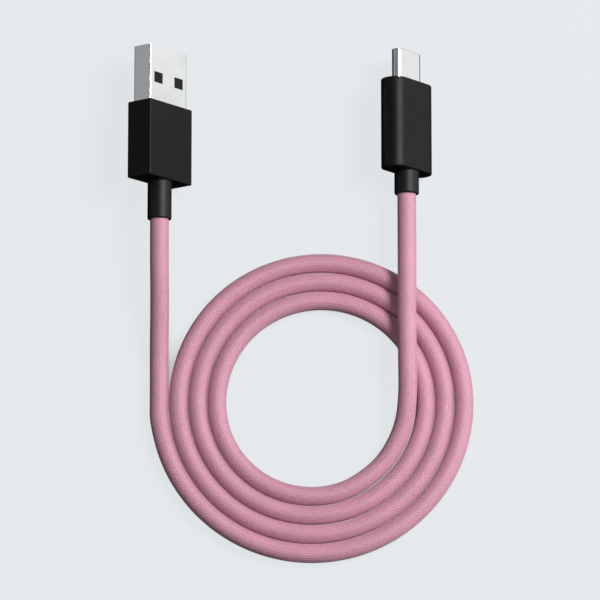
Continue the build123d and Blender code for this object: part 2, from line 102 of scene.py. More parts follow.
def coil_turns():
    """The coil's points about its centre, from nine o'clock round to the climb.

    Half turns below and above the middle line alternate. Each is half a pitch tighter than the one
    before, and the upper ones are centred half a pitch to the right, so that they join. The last
    one stops at a third of a turn. A spline of order 3 runs inside control points on a circle by a
    quarter of 1 - cos(step) of its radius, so they stand out by it.
    """
    step = 2 * pi / POINTS_PER_TURN
    stand_out = 1 / (0.75 + 0.25 * cos(step))
    half_turns = 2 * LOWER_STRANDS - 1
    turns = []
    for half_turn in range(half_turns):
        radius = COIL_OUTER_R - half_turn * PITCH / 2
        upper = half_turn % 2
        count = POINTS_PER_TURN // (3 if half_turn == half_turns - 1 else 2)
        angle = pi * (1 - upper) + step * (np.arange(count) + 0.5)
        x = upper * PITCH / 2 + radius * stand_out * np.cos(angle)
        y = radius * stand_out * np.sin(angle)
        turns += [(a, b, CABLE_D / 2) for a, b in zip(x, y)]
    return turns


def spline_line(name, points, spacing):
    """Places at even spacing along the NURBS spline that these control points shape."""
    curve = bpy.data.curves.new(name, "CURVE")
    curve.dimensions = "3D"
    curve.resolution_u = SPLINE_STEPS
    spline = curve.splines.new("NURBS")
    spline.points.add(len(points) - 1)
    for point, place in zip(spline.points, points):
        point.co = (*place, 1)
    spline.order_u = SPLINE_ORDER
    spline.use_endpoint_u = True
    carrier = bpy.data.objects.new(name, curve)
    mesh = bpy.data.meshes.new_from_object(carrier)
    fine = np.array([vertex.co[:] for vertex in mesh.vertices])
    bpy.data.objects.remove(carrier)
    bpy.data.meshes.remove(mesh)
    travelled = np.concatenate([[0], np.cumsum(np.linalg.norm(np.diff(fine, axis=0), axis=1))])
    count = RINGS_PER_PITCH * round(travelled[-1] / spacing / RINGS_PER_PITCH)
    wanted = np.linspace(0, travelled[-1], count + 1)
    return np.stack([np.interp(wanted, travelled, fine[:, axis]) for axis in range(3)], axis=1)


def sleeve_grid(line):
    """The braid's surface on a grid of rings along the line and places round each ring.

    Each ring lies square to the line, with its zero on the line's right-hand side. The radius is
    half the cable's diameter, plus the relief times cos(columns) times cos(yarns): high in the
    middle of a yarn, and low in the grooves at its ends and between it and the next.
    """
    ahead = np.gradient(line, axis=0)
    ahead /= np.linalg.norm(ahead, axis=1, keepdims=True)
    right = np.cross(ahead, (0, 0, 1))
    right /= np.linalg.norm(right, axis=1, keepdims=True)
    up = np.cross(right, ahead)
    column = np.arange(2 * BRAID_COLUMNS + 1) / 2
    yarn = np.arange(len(line)) / RINGS_PER_PITCH
    angle = column * 2 * pi / BRAID_COLUMNS
    wave = np.outer(np.cos(2 * pi * yarn), np.cos(pi * column))
    radius = CABLE_D / 2 + BRAID_RELIEF * wave
    places = (
        line[:, None]
        + radius[..., None] * np.cos(angle)[:, None] * right[:, None]
        + radius[..., None] * np.sin(angle)[:, None] * up[:, None]
    )
    maps = np.stack(np.broadcast_arrays(column, yarn[:, None]), axis=2) + MAP_START
    return places, maps


def new_piece(name, vertices, faces):
    """A smooth-shaded mesh object at the origin."""
    mesh = bpy.data.meshes.new(name)
    mesh.from_pydata(vertices, [], faces)
    mesh.validate()
    mesh.shade_smooth()
    piece = bpy.data.objects.new(name, mesh)
    bpy.context.collection.objects.link(piece)
    return piece


def wrapped_faces(rows, columns):
    """Quads between neighbouring rings of a grid whose last column joins its first."""
    row, column = np.meshgrid(np.arange(rows - 1), np.arange(columns), indexing="ij")
    after = (column + 1) % columns
    return np.stack(
        [
            row * columns + column,
            row * columns + after,
            (row + 1) * columns + after,
            (row + 1) * columns + column,
        ],
        axis=2,
    ).reshape(-1, 4)


def braided_sleeve(name, line):
    """The sleeve's mesh, with a UV map that counts columns round it and yarns along it.

    A face closes each end. The map has no place for those two, and leaves them at zero.
    """
    places, maps = sleeve_grid(line)
    rings, around = places.shape[0], places.shape[1] - 1
    quads = wrapped_faces(rings, around)
    ends = [list(range(around))[::-1], list(range((rings - 1) * around, rings * around))]
    vertices = places[:, :-1].reshape(-1, 3)
    piece = new_piece(name, vertices.tolist(), quads.tolist() + ends)
    corners = np.stack(
        [maps[:-1, :-1], maps[:-1, 1:], maps[1:, 1:], maps[1:, :-1]], axis=2
    ).reshape(-1, 2)
    end_corners = np.zeros((2 * around, 2))
    layer = piece.data.uv_layers.new(name="braid")
    layer.data.foreach_set("uv", np.concatenate([corners, end_corners]).ravel())
    return piece


def new_group(name, inputs, outputs):
    """An empty shader node group with these sockets, and its input and output nodes."""
    group = bpy.data.node_groups.new(name, "ShaderNodeTree")
    for way, sockets in (("INPUT", inputs), ("OUTPUT", outputs)):
        for label, kind in sockets:
            group.interface.new_socket(label, in_out=way, socket_type="NodeSocket" + kind)
    return group, group.nodes.new("NodeGroupInput"), group.nodes.new("NodeGroupOutput")


def add_node(tree, kind, links, **settings):
    """A node with its properties set, and its sockets set to values or linked to outputs."""
    made = tree.nodes.new("ShaderNode" + kind)
    for setting, value in settings.items():
        setattr(made, setting, value)
    for socket, value in links.items():
        if isinstance(value, bpy.types.NodeSocket):
            tree.links.new(value, made.inputs[socket])
        else:
            made.inputs[socket].default_value = value
    return made


def calc(tree, operation, first, second=0.0):
    """The result of one Math node on numbers or outputs."""
    return add_node(tree, "Math", {0: first, 1: second}, operation=operation).outputs[0]


def scaled(tree, value, factor, start):
    """The start plus the value times the factor."""
    made = add_node(tree, "Math", {0: value, 1: factor, 2: start}, operation="MULTIPLY_ADD")
    return made.outputs[0]


def ranged(tree, value, low, high, start=0.0, end=1.0):
    """A value that goes from start to end as another goes from low to high, and no further."""
    links = {0: value, 1: low, 2: high, 3: start, 4: end}
    return add_node(tree, "MapRange", links).outputs[0]


def surface_place(tree):
    """Places in the piece's own frame."""
    return add_node(tree, "TexCoord", {}).outputs["Object"]


def blend_values(tree, share, start, end):
    """A value that goes from start to end as share goes from 0 to 1."""
    return add_node(tree, "Mix", {0: share, 2: start, 3: end}, data_type="FLOAT").outputs[0]


def blend_colours(tree, share, start, end, how="MIX"):
    """A colour that goes from start to end as share goes from 0 to 1."""
    links = {0: share, 6: start, 7: end}
    return add_node(tree, "Mix", links, data_type="RGBA", blend_type=how).outputs[2]


def herringbone():
    """Group: two-over-two braid from a map that counts columns across and yarns along.

    The map's two diagonals count the yarns of each hand, and the nearest whole number of each names
    the yarn. Their sum tells the column, and so which hand lies on top. A yarn is a half round
    across, dives at both ends of its float, and is laid up from fine filaments side by side.
    """
    outputs = [(label, "Float") for label in ("Height", "Groove", "Yarn")]
    group, inside, outside = new_group("herringbone", [("Map", "Vector")], outputs)
    place = add_node(group, "SeparateXYZ", {0: inside.outputs[0]})
    rising = calc(group, "ADD", place.outputs[0], place.outputs[1])
    falling = calc(group, "SUBTRACT", place.outputs[0], place.outputs[1])
    near_rising = calc(group, "ROUND", rising)
    near_falling = calc(group, "ROUND", falling)
    total = calc(group, "ADD", near_rising, near_falling)
    column = calc(group, "FLOORED_MODULO", total, 4.0)
    left_hand = calc(group, "GREATER_THAN", column, 1.5)
    across_rising = calc(group, "SUBTRACT", rising, near_rising)
    across_falling = calc(group, "SUBTRACT", falling, near_falling)
    across = blend_values(group, left_hand, across_falling, across_rising)
    half = calc(group, "FLOORED_MODULO", total, 2.0)
    start = calc(group, "SUBTRACT", total, half)
    along_rising = calc(group, "ADD", rising, near_falling)
    along_falling = calc(group, "ADD", falling, near_rising)
    along = blend_values(group, left_hand, along_rising, along_falling)
    along = calc(group, "SUBTRACT", calc(group, "SUBTRACT", along, start), 0.5)
    round_across = calc(group, "COSINE", calc(group, "MULTIPLY", across, pi))
    round_along = calc(group, "COSINE", calc(group, "MULTIPLY", along, pi / 2))
    pillow = calc(group, "MULTIPLY", calc(group, "POWER", round_across, 0.5), round_along)
    filament = calc(group, "COSINE", calc(group, "MULTIPLY", across, 2 * pi * FILAMENTS))
    height = scaled(group, filament, FILAMENT_HEIGHT, pillow)
    groove = calc(group, "SUBTRACT", 1.0, calc(group, "MULTIPLY", round_across, round_along))
    number = blend_values(group, left_hand, near_falling, near_rising)
    number = calc(group, "ADD", number, calc(group, "MULTIPLY", left_hand, HAND_SHIFT))
    yarn = add_node(group, "TexWhiteNoise", {"W": number}, noise_dimensions="1D").outputs[0]
    for socket, value in zip(outside.inputs, (height, groove, yarn)):
        group.links.new(value, socket)
    return group


def cloudiness():
    """Group: slow, uneven variation over a surface from 0 to 1, as handling and dye leave it."""
    group, inside, outside = new_group(
        "cloudiness", [("Place", "Vector"), ("Size", "Float")], [("Cloud", "Float")]
    )
    scale = calc(group, "DIVIDE", 1.0, inside.outputs["Size"])
    noise = add_node(
        group, "TexNoise", {"Vector": inside.outputs["Place"], "Scale": scale, "Detail": 3.0}
    )
    group.links.new(ranged(group, noise.outputs[0], *NOISE_RANGE), outside.inputs[0])
    return group


def new_material(name, **finish):
    """A material, its node tree and its Principled shader; finish holds the shader's own values."""
    material = bpy.data.materials.new(name)
    material.use_nodes = True
    shader = material.node_tree.nodes["Principled BSDF"]
    for socket, value in finish.items():
        shader.inputs[socket.replace("_", " ")].default_value = value
    return material, material.node_tree, shader


def use_group(tree, group, links):
    """The outputs of the shared group, as a node of this tree."""
    return add_node(tree, "Group", links, node_tree=group).outputs


def add_bump(tree, shader, height, strength, depth):
    """Raises the surface by the height times the depth, through the shader's normal."""
    bump = add_node(tree, "Bump", {"Height": height, "Strength": strength, "Distance": depth})
    tree.links.new(bump.outputs[0], shader.inputs["Normal"])


def braid_material(name, make_map):
    """Pink polyester yarn: soft sheen, painted shade in the grooves, each yarn dyed a little apart.

    make_map gives the output that counts columns round the cable and yarns along it.
    """
    material, tree, shader = new_material(
        name, Roughness=0.64, IOR=1.64, Specular_IOR_Level=1.0,
        Sheen_Weight=0.35, Sheen_Roughness=0.45,
    )
    place = surface_place(tree)
    yarns = use_group(tree, HERRINGBONE, {"Map": make_map(tree, place)})
    cloud = use_group(tree, CLOUDINESS, {"Place": place, "Size": SLEEVE_CLOUD})
    # painted shade: the yarn's pink darkens towards the groove shade in the grooves between yarns
    depth = ranged(tree, yarns["Groove"], GROOVE_START, 1.0, end=GROOVE_SHARE)
    colour = blend_colours(tree, depth, YARN_PINK, GROOVE_SHADE_PINK)
    for value, (darkest, spread) in ((yarns["Yarn"], YARN_TINTS), (cloud[0], CLOUD_TONES)):
        colour = blend_colours(tree, 1.0, colour, scaled(tree, value, spread, darkest), "MULTIPLY")
    tree.links.new(colour, shader.inputs["Base Color"])
    add_bump(tree, shader, yarns["Height"], YARN_BUMP, YARN_HEIGHT)
    return material


def laid_out_map(tree, place):
    """The sleeve's own UV map, whatever the place."""
    return add_node(tree, "UVMap", {}, uv_map="braid").outputs[0]


HERRINGBONE = herringbone()
CLOUDINESS = cloudiness()

coil_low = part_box("cable_coil")[0]
reach = COIL_OUTER_R + CABLE_D / 2
coil_centre = Vector((coil_low.x + reach, coil_low.y + reach, 0))
host_exit = Vector(rear_middle("host_plug_strain_relief"))
device_exit = Vector(rear_middle("device_plug_strain_relief"))
straight_out = Vector((0, STRAIGHT_OUT, 0))
route = [host_exit, host_exit - straight_out]
route += [coil_centre + Vector(place) for place in HOST_ROUTE]
route += [coil_centre + Vector(place) for place in coil_turns()]
route += [coil_centre + Vector(place) for place in reversed(DEVICE_ROUTE)]
route += [device_exit - straight_out, device_exit]
cable_line = spline_line("cable_line", route, BRAID_PITCH / RINGS_PER_PITCH)
cable = braided_sleeve("braided_cable", cable_line)
cable.data.materials.append(braid_material("pink_braid", laid_out_map))
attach(cable, "cable_assembly")
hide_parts("cable_run_host", "cable_coil", "cable_run_device")


# ---- Collars -----------------------------------------------------------------------------------
# A round strain relief behind each plug, moulded in satin black plastic. It slides over the
# braid, and its spigot snaps into the hole in the housing's back wall.
SPIGOT_R = 0.00225
BACK_WALL = 0.0009
LIP_R = 0.0003
LIP_STEPS = 6
BORE_ROWS = 12
COLLAR_ROWS = 16
TWIST = radians(52)  # how far both plugs are rolled about their axes
TURNED_POINTS = 96
SHARP_ANGLE = radians(35)
SAME_PLACE = 1e-8  # points nearer to each other than this are made one
PLASTIC_BLACK = (0.0012, 0.0012, 0.0012, 1)
PLASTIC_PALER = 1.25  # how much paler the palest cloud is
PLASTIC_CLOUD = 0.004
PLASTIC_GLOSS = 0.04  # how far the glossiest spots lie under a plastic's roughness
CLOUD_ROUGHNESS = 0.05  # how much rougher the dullest cloud is than the glossiest
GRAIN_ROUGHNESS = 0.05
GRAIN_BUMP = 0.35
CELL_SHARE = 0.4  # of rounded cells in the grain's height; the rest is noise
GRAIN_RANGE = (0.35, 0.65)
MARK_SOCKETS = (  # what a group for marks on a surface takes and gives
    [("Place", "Vector"), ("Size", "Float")],
    [("Height", "Float"), ("Gloss", "Float")],
)


def ring_surface(name, rows, rear):
    """A closed surface through rows of points round a plug's axis. The last row joins the first.

    Rows are drawn as x across the plug, y from its rear and z through its thickness. They are
    turned about the axis by the twist, so that x becomes x cos + z sin and z becomes z cos - x sin,
    and moved to the rear end's place. Edges over the sharp angle are shaded sharp.
    """
    rows = np.array(rows)
    x = rows[..., 0] * cos(TWIST) + rows[..., 2] * sin(TWIST)
    z = rows[..., 2] * cos(TWIST) - rows[..., 0] * sin(TWIST)
    places = np.stack([x, rows[..., 1], z], axis=-1) + rear
    count, around = rows.shape[:2]
    faces = wrapped_faces(count + 1, around) % (count * around)
    piece = new_piece(name, places.reshape(-1, 3).tolist(), faces.tolist())
    working = bmesh.new()
    working.from_mesh(piece.data)
    bmesh.ops.remove_doubles(working, verts=working.verts, dist=SAME_PLACE)
    bmesh.ops.recalc_face_normals(working, faces=working.faces)
    working.to_mesh(piece.data)
    working.free()
    piece.data.set_sharp_from_angle(angle=SHARP_ANGLE)
    return piece


def circle_row(radius, y):
    """One row of a turned piece: a circle about the axis."""
    angle = np.arange(TURNED_POINTS) * 2 * pi / TURNED_POINTS
    across, through = radius * np.cos(angle), radius * np.sin(angle)
    return np.stack([across, np.full_like(angle, y), through], axis=1)


def collar(name, node):
    """A turned sleeve: bore, spigot, shoulder, outside and the rounded lip round the cable."""
    low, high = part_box(node)
    outer = (high.x - low.x) / 2
    length = high.y - low.y
    shoulder = length - BACK_WALL
    bore = CABLE_D / 2
    profile = [(bore, y) for y in np.linspace(LIP_R / 2, length, BORE_ROWS)]
    profile += [(SPIGOT_R, length), (SPIGOT_R, shoulder), (outer, shoulder)]
    profile += [(outer, y) for y in np.linspace(shoulder - LIP_R / 4, LIP_R, COLLAR_ROWS)]
    for turn in np.linspace(0, pi / 2, LIP_STEPS)[1:]:
        profile.append((outer - LIP_R * (1 - cos(turn)), LIP_R * (1 - sin(turn))))
    for turn in np.linspace(0, pi / 2, LIP_STEPS)[:-1]:
        profile.append((bore + LIP_R / 2 * (1 - sin(turn)), LIP_R / 2 * (1 - cos(turn))))
    return ring_surface(name, [circle_row(radius, y) for radius, y in profile], rear_middle(node))


def moulded_grain():
    """Group: the fine spark-eroded grain of a mould, as a height, and how it scatters gloss."""
    group, inside, outside = new_group("moulded_grain", *MARK_SOCKETS)
    scale = calc(group, "DIVIDE", 1.0, inside.outputs["Size"])
    links = {"Vector": inside.outputs["Place"], "Scale": scale, "Detail": 4.0, "Roughness": 0.6}
    noise = add_node(group, "TexNoise", links)
    cells = add_node(group, "TexVoronoi", {"Vector": inside.outputs["Place"], "Scale": scale})
    height = blend_values(group, CELL_SHARE, noise.outputs[0], cells.outputs[0])
    group.links.new(height, outside.inputs["Height"])
    group.links.new(ranged(group, noise.outputs[0], *GRAIN_RANGE), outside.inputs["Gloss"])
    return group


def times(colour, factor):
    """A colour with its channels multiplied, and full alpha."""
    return tuple(channel * factor for channel in colour[:3]) + (1,)


def plastic(name, colour, roughness, grain_size, grain_depth, **finish):
    """Moulded plastic: an even colour, a fine grain, and gloss that handling has made uneven."""
    material, tree, shader = new_material(name, **finish)
    place = surface_place(tree)
    grain = use_group(tree, MOULDED_GRAIN, {"Place": place, "Size": grain_size})
    cloud = use_group(tree, CLOUDINESS, {"Place": place, "Size": PLASTIC_CLOUD})[0]
    shade = blend_colours(tree, cloud, colour, times(colour, PLASTIC_PALER))
    tree.links.new(shade, shader.inputs["Base Color"])
    uneven = scaled(tree, cloud, CLOUD_ROUGHNESS, roughness - PLASTIC_GLOSS)
    rough = scaled(tree, grain["Gloss"], GRAIN_ROUGHNESS, uneven)
    tree.links.new(rough, shader.inputs["Roughness"])
    add_bump(tree, shader, grain["Height"], GRAIN_BUMP, grain_depth)
    return material


MOULDED_GRAIN = moulded_grain()
collar_black = plastic(
    "collar_black", PLASTIC_BLACK, roughness=0.52, grain_size=0.00012, grain_depth=0.000006,
    Specular_IOR_Level=0.38,
)
host_collar = collar("host_plug_collar", "host_plug_strain_relief")
device_collar = collar("device_plug_collar", "device_plug_strain_relief")
for sleeve, node in (
    (host_collar, "host_plug_strain_relief"),
    (device_collar, "device_plug_strain_relief"),
):
    sleeve.data.materials.append(collar_black)
    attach(sleeve, "cable_assembly")
    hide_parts(node)


# ---- Housings ----------------------------------------------------------------------------------
# Two hollow sleeves moulded in satin black plastic, one square edged and one with half-round
# sides. Each slides on from the front over the inner mould, and is glued at its rim.
HOUSING_WALL_STEPS = 28
CAVITY_STEPS = 12
EDGE_STEPS = 7
BACK_SHARES = (0.25, 0.5, 0.75)  # the rows across the back, from the hole to the edge
FLOOR_SHARES = (0.33, 0.67)  # the rows across the cavity's floor, from its corner to the hole
HOST_CORNER_R = 0.0003
HOST_EDGE_R = HOST_CORNER_R * 0.999  # a hair under the corner, so that no corner shrinks to a point
HOST_SIZE = (0.0138, 0.0062)
HOST_CAVITY = (0.0121, 0.0046)
HOST_CAVITY_CORNER = 0.0004
DEVICE_EDGE_R = 0.00025
DEVICE_SIZE = (0.0136, 0.0061)
DEVICE_CAVITY = (0.0120, 0.0045)
RIM_BREAK = 0.00008  # the broken edge inside the front rim


def outline_row(width, thickness, corner, y, arc_points, runs):
    """One row of a rounded rectangle: four corner arcs with evenly divided straight runs between.

    arc_points stand on each corner, and runs holds how many stand on each wide side and each
    narrow side between the arcs.
    """
    arc = np.linspace(0, pi / 2, arc_points)
    arcs = []
    for turn in range(4):
        middle = np.array([width / 2 - corner, thickness / 2 - corner])
        middle *= (1 if turn in (0, 3) else -1, 1 if turn < 2 else -1)
        angle = arc + turn * pi / 2
        arcs.append(middle + corner * np.stack([np.cos(angle), np.sin(angle)], axis=1))
    parts = []
    for turn, run in zip(range(4), (*runs, *runs)):
        start, end = arcs[turn][-1], arcs[(turn + 1) % 4][0]
        share = np.linspace(0, 1, run + 2)[1:-1, None]
        parts.append(arcs[turn] if run else arcs[turn][:-1])
        parts.append(start + share * (end - start))
    flat = np.concatenate(parts)
    return np.stack([flat[:, 0], np.full(len(flat), y), flat[:, 1]], axis=1)


def hole_row(like, radius, y):
    """A circle about the axis whose points lie in the directions of another row's points."""
    flat = like[:, [0, 2]]
    flat = flat * (radius / np.linalg.norm(flat, axis=1, keepdims=True))
    return np.stack([flat[:, 0], np.full(len(flat), y), flat[:, 1]], axis=1)


def housing(name, node, size, corner, cavity, cavity_corner, edge, divisions):
    """A hollow sleeve, drawn as rows from the hole in its back wall round to the hole again.

    They go out over the back, forward along the outside, over the rim and back along the cavity,
    and edge is the rounding of the outside's two ends. divisions holds the outline's points on each
    corner, and on its wide and narrow sides.
    """
    low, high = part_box(node)
    length = high.y - low.y

    def outside(inset, y):
        return outline_row(size[0] - 2 * inset, size[1] - 2 * inset, corner - inset, y, *divisions)

    def inside(spread, y):
        reach = [side + 2 * spread for side in cavity]
        return outline_row(*reach, cavity_corner + spread, y, *divisions)

    turns = np.linspace(0, pi / 2, EDGE_STEPS)
    rounded = [(edge * (1 - sin(turn)), edge * (1 - cos(turn))) for turn in turns]
    back = outside(edge, 0)
    hole = hole_row(back, SPIGOT_R, 0)
    floor_row = inside(0, BACK_WALL)
    inner_hole = hole_row(floor_row, SPIGOT_R, BACK_WALL)
    rows = [inner_hole, hole]
    rows += [hole + (back - hole) * share for share in BACK_SHARES]
    rows += [outside(inset, y) for inset, y in rounded]
    rows += [outside(0, y) for y in np.linspace(edge, length - edge, HOUSING_WALL_STEPS)[1:-1]]
    rows += [outside(inset, length - y) for inset, y in reversed(rounded)]
    rows += [inside(RIM_BREAK, length), inside(0, length - RIM_BREAK)]
    rows += [inside(0, y) for y in np.linspace(length - 2 * RIM_BREAK, BACK_WALL, CAVITY_STEPS)]
    rows += [floor_row + (inner_hole - floor_row) * share for share in FLOOR_SHARES]
    return ring_surface(name, rows, rear_middle(node))


housing_black = plastic(
    "housing_black", PLASTIC_BLACK, roughness=0.49, grain_size=0.00014, grain_depth=0.000008,
    Specular_IOR_Level=0.25,
)
host_housing = housing(
    "host_plug_casing", "host_plug_housing",
    size=HOST_SIZE, corner=HOST_CORNER_R,
    cavity=HOST_CAVITY, cavity_corner=HOST_CAVITY_CORNER,
    edge=HOST_EDGE_R, divisions=(9, (24, 11)),
)
device_housing = housing(
    "device_plug_casing", "device_plug_housing",
    size=DEVICE_SIZE, corner=DEVICE_SIZE[1] / 2,
    cavity=DEVICE_CAVITY, cavity_corner=DEVICE_CAVITY[1] / 2,
    edge=DEVICE_EDGE_R, divisions=(17, (16, 0)),
)
for casing, node in ((host_housing, "host_plug_housing"), (device_housing, "device_plug_housing")):
    casing.data.materials.append(housing_black)
    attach(casing, "cable_assembly")
    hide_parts(node)


# ---- The slim plug's pieces --------------------------------------------------------------------
# The slim plug's collar, its housing and the pieces inside it, gathered in one list. The cable
# leaves the wide plug's collar and has the slim plug on its other end.
device_pieces = [device_collar, device_housing]
device_pieces += [
    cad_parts[name]
    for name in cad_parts
    if name.startswith("device_plug_") and not name.endswith(("_housing", "_strain_relief"))
]


# ---- Cable ends inside the plugs ---------------------------------------------------------------
# Under each collar the braid is cut off and clamped. The black jacket under it goes on into the
# shield can, where it is stripped back to four insulated wires.
WIRE_COLOURS = {
    "red": (0.55, 0.03, 0.03, 1),
    "white": (0.80, 0.80, 0.77, 1),
    "green": (0.03, 0.30, 0.08, 1),
    "black": (0.02, 0.02, 0.02, 1),
}
JACKET_BLACK = (0.018, 0.018, 0.019, 1)
JACKET_DARKER = 0.85  # how dark the darkest cloud is, out of 1
JACKET_CLOUD = 0.002
DIE_LINE_SIZE = 0.00012
DIE_LINE_ROUGHNESS = 0.08
DIE_LINE_BUMP = 0.2
DIE_LINE_DEPTH = 0.000008
LINE_SQUEEZE = (1.0, 0.03, 1.0)  # places are squeezed by this, so that spots become lines


def dress(node, material):
    """Gives a piece that keeps its own mesh its finish."""
    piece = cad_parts[node]
    if not piece.material_slots:
        piece.data.materials.append(material)
    for place in piece.material_slots:
        place.material = material


def about_plug(tree, place, node):
    """Places measured from the middle of a piece, turned to its plug's own x, y and z."""
    low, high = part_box(node)
    links = {"Vector": place, "Location": (low + high) / 2, "Rotation": (0, TWIST, 0)}
    return add_node(tree, "Mapping", links, vector_type="TEXTURE").outputs[0]


def braid_map_about(node):
    """A map for the braid round a plug's axis: the angle counts columns, and y counts yarns."""

    def make_map(tree, place):
        local = add_node(tree, "SeparateXYZ", {0: about_plug(tree, place, node)})
        angle = calc(tree, "ARCTAN2", local.outputs[2], local.outputs[0])
        columns = calc(tree, "MULTIPLY", angle, BRAID_COLUMNS / (2 * pi))
        yarns = calc(tree, "DIVIDE", local.outputs[1], BRAID_PITCH)
        return add_node(tree, "CombineXYZ", {0: columns, 1: yarns}).outputs[0]

    return make_map


def extruded(name, colour, roughness):
    """Extruded jacket or insulation: even colour, glossy, with faint die lines along it."""
    material, tree, shader = new_material(name)
    place = surface_place(tree)
    lines = use_group(tree, DRAWN_LINES, {"Place": place, "Size": DIE_LINE_SIZE})
    cloud = use_group(tree, CLOUDINESS, {"Place": place, "Size": JACKET_CLOUD})[0]
    shade = blend_colours(tree, cloud, times(colour, JACKET_DARKER), colour)
    tree.links.new(shade, shader.inputs["Base Color"])
    rough = scaled(tree, lines["Gloss"], DIE_LINE_ROUGHNESS, roughness)
    tree.links.new(rough, shader.inputs["Roughness"])
    add_bump(tree, shader, lines["Height"], DIE_LINE_BUMP, DIE_LINE_DEPTH)
    return material


def drawn_lines():
    """Group: fine lines along a plug, as drawing, brushing or extruding leaves, and their gloss.

    It is noise on places squeezed along y, so that each spot becomes a line.
    """
    group, inside, outside = new_group("drawn_lines", *MARK_SOCKETS)
    squeeze = {0: inside.outputs["Place"], 1: LINE_SQUEEZE}
    squeezed = add_node(group, "VectorMath", squeeze, operation="MULTIPLY").outputs[0]
    scale = calc(group, "DIVIDE", 1.0, inside.outputs["Size"])
    noise = add_node(group, "TexNoise", {"Vector": squeezed, "Scale": scale, "Detail": 3.0})
    group.links.new(noise.outputs[0], outside.inputs["Height"])
    group.links.new(ranged(group, noise.outputs[0], *NOISE_RANGE), outside.inputs["Gloss"])
    return group


DRAWN_LINES = drawn_lines()
jacket_black = extruded("jacket_black", JACKET_BLACK, roughness=0.38)
wire_finishes = {
    colour: extruded(colour + "_insulation", value, roughness=0.30)
    for colour, value in WIRE_COLOURS.items()
}
for plug in ("host_plug", "device_plug"):
    node = plug + "_braid_end"
    dress(node, braid_material(node + "_braid", braid_map_about(node)))
    dress(plug + "_inner_jacket", jacket_black)
    for colour, finish in wire_finishes.items():
        dress(plug + "_wire_" + colour, finish)


# ---- Steel shells ------------------------------------------------------------------------------
# The wide plug's shell is folded from bright plated sheet, with four latch windows cut in it. The
# slim plug's tip is drawn in one piece. Both are held in the inner mould by their rear ends.
BRIGHT_STEEL = (0.84, 0.845, 0.85, 1)
SPRING_STEEL = (0.58, 0.59, 0.61, 1)
TINNED_SHEET = (0.62, 0.62, 0.60, 1)
GOLD = (0.86, 0.62, 0.27, 1)
METAL_DULLER = 0.93  # how dark the darkest cloud is, out of 1
METAL_CLOUD = 0.003
METAL_GLOSS = 0.03  # how far the glossiest spots lie under a metal's roughness
LINE_ROUGHNESS = 0.06
LINE_BUMP = 0.15


def sheet_metal(name, colour, roughness, line_size, line_depth):
    """Plated sheet or strip: clouded gloss, and the fine lines of its rolling or drawing."""
    material, tree, shader = new_material(name, Metallic=1.0)
    place = surface_place(tree)
    lines = use_group(tree, DRAWN_LINES, {"Place": place, "Size": line_size})
    cloud = use_group(tree, CLOUDINESS, {"Place": place, "Size": METAL_CLOUD})[0]
    shade = blend_colours(tree, cloud, times(colour, METAL_DULLER), colour)
    tree.links.new(shade, shader.inputs["Base Color"])
    uneven = scaled(tree, cloud, CLOUD_ROUGHNESS, roughness - METAL_GLOSS)
    rough = scaled(tree, lines["Gloss"], LINE_ROUGHNESS, uneven)
    tree.links.new(rough, shader.inputs["Roughness"])
    add_bump(tree, shader, lines["Height"], LINE_BUMP, line_depth)
    return material


bright_steel = sheet_metal(
    "bright_steel", BRIGHT_STEEL, roughness=0.22, line_size=0.00008, line_depth=0.000003
)
for node in ("host_plug_shell", "device_plug_tip_shell"):
    dress(node, bright_steel)


# ---- Shield cans and ferrules ------------------------------------------------------------------
# Two folded halves of tinned sheet close round the soldered joints in each plug. A rolled ferrule
# behind them is crimped on the jacket, and takes the pull of the cable.
tinned_sheet = sheet_metal(
    "tinned_sheet", TINNED_SHEET, roughness=0.36, line_size=0.00015, line_depth=0.000006
)
for plug in ("host_plug", "device_plug"):
    for part in ("shield_upper", "shield_lower", "crimp_ferrule"):
        dress(plug + "_" + part, tinned_sheet)


# ---- Insulators and inner moulds ---------------------------------------------------------------
# Black glass-filled blocks carry the contacts inside each steel shell. A softer mould is shot round
# the can and the cable's end, and fills the housing.
INSULATOR_BLACK = (0.010, 0.010, 0.011, 1)
MOULD_BLACK = (0.030, 0.030, 0.033, 1)
insulator_black = plastic(
    "insulator_black", INSULATOR_BLACK, roughness=0.6, grain_size=0.00009, grain_depth=0.000006,
    Specular_IOR_Level=0.15,
)
mould_black = plastic(
    "mould_black", MOULD_BLACK, roughness=0.55, grain_size=0.00025, grain_depth=0.000015
)
for plug in ("host_plug", "device_plug"):
    dress(plug + "_insulator", insulator_black)
    dress(plug + "_inner_mould", mould_black)


# ---- Contacts, springs and latches -------------------------------------------------------------
# Contact strips are stamped from copper alloy and gold plated. The slim plug's ground springs and
# its two side latches are bare spring steel, and the latches open as the plug goes in.
gold_plate = sheet_metal(
    "gold_plate", GOLD, roughness=0.22, line_size=0.00006, line_depth=0.000003
)
spring_steel = sheet_metal(
    "spring_steel", SPRING_STEEL, roughness=0.28, line_size=0.00007, line_depth=0.000004
)
for contact in ("power", "data_minus", "data_plus", "ground"):
    dress("host_plug_contact_" + contact, gold_plate)
for row in ("upper", "lower"):
    dress("device_plug_contacts_" + row, gold_plate)
    dress("device_plug_ground_spring_" + row, spring_steel)
for part in ("frame", "right", "left"):
    dress("device_plug_latch_" + part, spring_steel)


# ---- Board and resistor ------------------------------------------------------------------------
# A small glass-fibre board with green solder mask joins the slim plug's contacts to the wires. One
# chip resistor stands on it: a black body between two tinned ends.
MASK_GREEN = (0.012, 0.13, 0.05, 1)
MASK_PALE = (0.03, 0.22, 0.09, 1)
CHIP_BLACK = (0.012, 0.012, 0.014, 1)
WEAVE_PITCH = 0.0005
WEAVE_BUMP = 0.2
WEAVE_DEPTH = 0.00001
CHIP_END = 0.00028  # from the resistor's middle to where its tinned ends start
CHIP_CLOUD = 0.0003
CHIP_ROUGHNESS = (0.3, 0.15)  # the glossiest spot's, and how much rougher the dullest is


